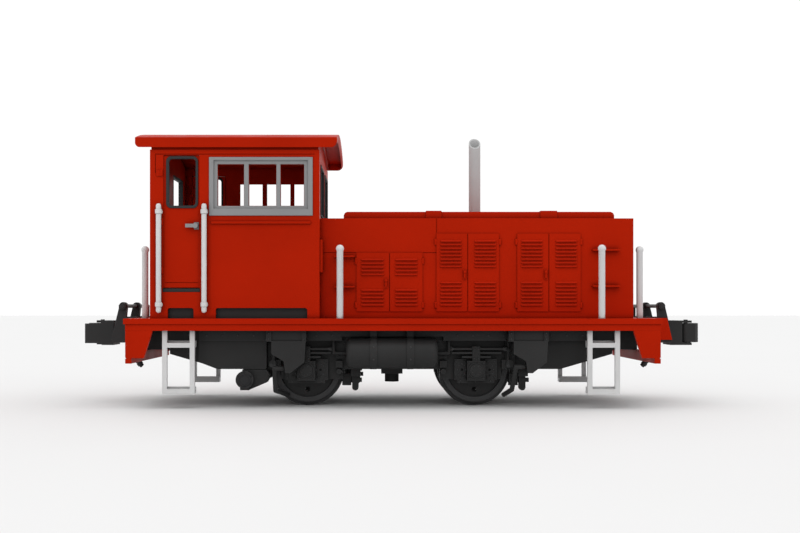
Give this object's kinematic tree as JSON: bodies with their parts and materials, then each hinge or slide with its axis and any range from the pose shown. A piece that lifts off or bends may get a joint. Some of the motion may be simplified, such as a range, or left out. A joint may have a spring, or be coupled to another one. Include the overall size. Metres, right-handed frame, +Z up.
{
  "type": "model diesel locomotive",
  "caption": "Four-wheel model diesel shunting locomotive with an end cab, long hood, worm-driven wheelsets, opening cab doors and swinging knuckle couplers.",
  "frame": {"origin": "under the middle of the locomotive, on the plane that the wheel flanges stand on", "axes": "+X towards the hood end, +Y across the locomotive to its left side, +Z up"},
  "size_m": [0.331, 0.1, 0.1437],
  "materials": {
    "red_plastic": "satin moulded plastic",
    "black_plastic": "matte moulded plastic",
    "grey_plastic": "satin moulded plastic",
    "light_grey_plastic": "satin moulded plastic",
    "black_rubber": "matte",
    "steel": "turned",
    "armature_iron": "laminated",
    "brass": "machined",
    "blackened_metal": "blackened",
    "ballast_iron": "cast",
    "lamp_lens": "clear moulded lens"
  },
  "bodies": {
    "chassis": {"running_board": "red_plastic", "main_frame": "black_plastic", "body_screws": "steel", "gearbox_covers": "black_plastic", "bushes": "brass", "motor_can": "steel", "cab_body": "red_plastic", "end_window_seals": "black_rubber", "side_window_right": "grey_plastic", "side_window_left": "grey_plastic", "cab_floor": "black_plastic", "cab_roof": "red_plastic", "cab_grab_rails": "light_grey_plastic", "hood_body": "red_plastic", "hood_top_cover": "red_plastic", "hood_doors_right": "red_plastic", "hood_doors_left": "red_plastic", "radiator_grille": "red_plastic", "headlights": "lamp_lens", "exhaust_stack": "grey_plastic", "ballast_weight": "ballast_iron", "side_frame_right": "black_plastic", "side_frame_left": "black_plastic", "axleboxes": "black_plastic", "leaf_springs": "black_plastic", "sandboxes": "black_plastic", "sand_pipes": "black_plastic", "air_reservoirs": "black_plastic", "fuel_tanks": "black_plastic", "brake_gear": "black_plastic", "rear_ladders": "light_grey_plastic", "front_ladders": "light_grey_plastic", "handrail_posts": "light_grey_plastic", "rear_pilot": "red_plastic", "front_pilot": "red_plastic", "rear_drawbox": "black_plastic", "front_drawbox": "black_plastic", "brake_hoses": "black_rubber"},
    "motor_drive": {"motor_shaft": "steel", "motor_armature": "armature_iron", "rear_worm": "brass", "front_worm": "brass"},
    "rear_wheelset": {"rear_axle": "steel", "rear_wheels": "blackened_metal", "rear_worm_wheel": "brass"},
    "front_wheelset": {"front_axle": "steel", "front_wheels": "blackened_metal", "front_worm_wheel": "brass"},
    "rear_coupler": {"rear_coupler": "black_plastic"},
    "rear_knuckle": {"rear_knuckle": "black_plastic"},
    "front_coupler": {"front_coupler": "black_plastic"},
    "front_knuckle": {"front_knuckle": "black_plastic"},
    "rear_lever": {"rear_coupler_lever": "black_plastic"},
    "front_lever": {"front_coupler_lever": "black_plastic"},
    "right_door": {"cab_door_right": "red_plastic", "door_seal_right": "black_rubber"},
    "right_handle": {"door_handle_right": "grey_plastic"},
    "left_door": {"cab_door_left": "red_plastic", "door_seal_left": "black_rubber"},
    "left_handle": {"door_handle_left": "grey_plastic"}
  },
  "joints": [
    {"name": "motor_spin", "type": "hinge", "parent": "chassis", "child": "motor_drive", "pos_m": [0, 0, 0.0276], "axis": [1, 0, 0], "continuous": true},
    {"name": "rear_wheel_spin", "type": "hinge", "parent": "chassis", "child": "rear_wheelset", "pos_m": [-0.0442, 0, 0.019], "axis": [0, 1, 0], "continuous": true},
    {"name": "front_wheel_spin", "type": "hinge", "parent": "chassis", "child": "front_wheelset", "pos_m": [0.0428, 0, 0.019], "axis": [0, 1, 0], "continuous": true},
    {"name": "rear_coupler_swing", "type": "hinge", "parent": "chassis", "child": "rear_coupler", "pos_m": [-0.124, 0, 0.0363], "axis": [0, 0, 1], "range_deg": [-12, 12]},
    {"name": "front_coupler_swing", "type": "hinge", "parent": "chassis", "child": "front_coupler", "pos_m": [0.124, 0, 0.0363], "axis": [0, 0, 1], "range_deg": [-12, 12]},
    {"name": "rear_knuckle_open", "type": "hinge", "parent": "rear_coupler", "child": "rear_knuckle", "pos_m": [-0.159, 0.005, 0.0377], "axis": [0, 0, -1], "range_deg": [0, 35]},
    {"name": "front_knuckle_open", "type": "hinge", "parent": "front_coupler", "child": "front_knuckle", "pos_m": [0.159, -0.005, 0.0377], "axis": [0, 0, -1], "range_deg": [0, 35]},
    {"name": "rear_lever_lift", "type": "hinge", "parent": "chassis", "child": "rear_lever", "pos_m": [-0.1425, 0, 0.052], "axis": [0, 1, 0], "range_deg": [0, 40]},
    {"name": "front_lever_lift", "type": "hinge", "parent": "chassis", "child": "front_lever", "pos_m": [0.1425, 0, 0.052], "axis": [0, -1, 0], "range_deg": [0, 40]},
    {"name": "right_door_open", "type": "hinge", "parent": "chassis", "child": "right_door", "pos_m": [-0.1161, -0.0432, 0.0945], "axis": [0, 0, 1], "range_deg": [0, 80]},
    {"name": "left_door_open", "type": "hinge", "parent": "chassis", "child": "left_door", "pos_m": [-0.1161, 0.0432, 0.0945], "axis": [0, 0, -1], "range_deg": [0, 80]},
    {"name": "right_handle_turn", "type": "hinge", "parent": "right_door", "child": "right_handle", "pos_m": [-0.0993, -0.0465, 0.0924], "axis": [0, -1, 0], "range_deg": [0, 40]},
    {"name": "left_handle_turn", "type": "hinge", "parent": "left_door", "child": "left_handle", "pos_m": [-0.0993, 0.0465, 0.0924], "axis": [0, -1, 0], "range_deg": [0, 40]}
  ],
  "couplings": [
    {"joint": "rear_wheel_spin", "follows": "motor_spin", "ratio": -0.05},
    {"joint": "front_wheel_spin", "follows": "motor_spin", "ratio": -0.05}
  ]
}
